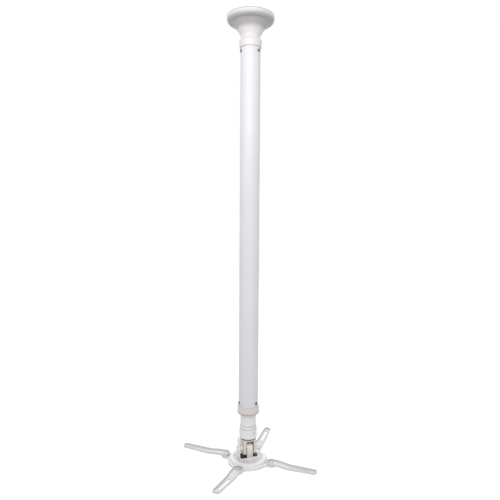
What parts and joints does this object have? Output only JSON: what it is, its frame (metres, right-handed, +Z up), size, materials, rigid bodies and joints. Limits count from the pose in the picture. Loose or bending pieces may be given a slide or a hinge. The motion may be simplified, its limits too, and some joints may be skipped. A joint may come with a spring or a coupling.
{
  "type": "projector ceiling mount",
  "caption": "White telescopic ceiling mount for a projector, with a bell canopy, sliding tubes, a swivel cup, a chrome tilt hinge and slotted arms on a pressed base plate.",
  "frame": {"origin": "centre of the ceiling plate's top face, on the ceiling, on the mast's axis", "axes": "+Z up along the mast, X along the tilt pin, with the pin's tall tab on -X; the arms point between X and Y"},
  "size_m": [0.2648, 0.2846, 1.1255],
  "materials": {
    "white_paint": "satin",
    "white_plastic": "satin",
    "chrome": "polished",
    "steel": "satin",
    "black_rubber": "matte",
    "black_plastic": "matte"
  },
  "bodies": {
    "ceiling": {"ceiling_plate": "white_paint", "stub_tube": "white_paint", "canopy_cover": "white_plastic", "top_collar": "white_plastic", "top_screws": "steel", "outer_tube": "white_paint", "bottom_collar": "white_plastic", "bottom_screws": "steel"},
    "mast": {"inner_tube": "white_paint", "glide_ring": "black_plastic", "stop_ring": "white_paint", "end_plug": "steel", "swivel_bolt": "steel"},
    "head": {"swivel_cup": "white_paint", "cup_screws": "steel", "swivel_washer": "black_rubber", "hinge_clevis": "chrome", "clevis_screws": "steel"},
    "base": {"hinge_tang": "chrome", "tang_screws": "steel", "hinge_washers": "black_rubber", "hinge_pads": "black_rubber", "tilt_bracket": "white_paint", "tilt_bolt": "steel", "tilt_spacer": "steel", "tilt_cap": "steel", "base_plate": "white_paint", "pivot_screws": "steel", "pivot_washers": "steel", "pivot_nuts": "steel"},
    "arm_front_left": {"arm_front_left": "white_paint"},
    "arm_front_right": {"arm_front_right": "white_paint"},
    "arm_rear_left": {"arm_rear_left": "white_paint"},
    "arm_rear_right": {"arm_rear_right": "white_paint"}
  },
  "joints": [
    {"name": "telescope", "type": "slide", "parent": "ceiling", "child": "mast", "axis": [0, 0, -1], "range_m": [0, 0.8]},
    {"name": "swivel", "type": "hinge", "parent": "mast", "child": "head", "pos_m": [0, 0, -1.06], "axis": [0, 0, 1], "continuous": true},
    {"name": "tilt", "type": "hinge", "parent": "head", "child": "base", "pos_m": [0, 0, -1.0868], "axis": [1, 0, 0], "range_deg": [-15, 15]},
    {"name": "arm_front_left_pivot", "type": "hinge", "parent": "base", "child": "arm_front_left", "pos_m": [-0.04455, -0.04455, -1.1181], "axis": [0, 0, 1], "range_deg": [-50, 50]},
    {"name": "arm_front_right_pivot", "type": "hinge", "parent": "base", "child": "arm_front_right", "pos_m": [0.04455, -0.04455, -1.1181], "axis": [0, 0, 1], "range_deg": [-50, 50]},
    {"name": "arm_rear_left_pivot", "type": "hinge", "parent": "base", "child": "arm_rear_left", "pos_m": [-0.04455, 0.04455, -1.1181], "axis": [0, 0, 1], "range_deg": [-50, 50]},
    {"name": "arm_rear_right_pivot", "type": "hinge", "parent": "base", "child": "arm_rear_right", "pos_m": [0.04455, 0.04455, -1.1181], "axis": [0, 0, 1], "range_deg": [-50, 50]}
  ]
}
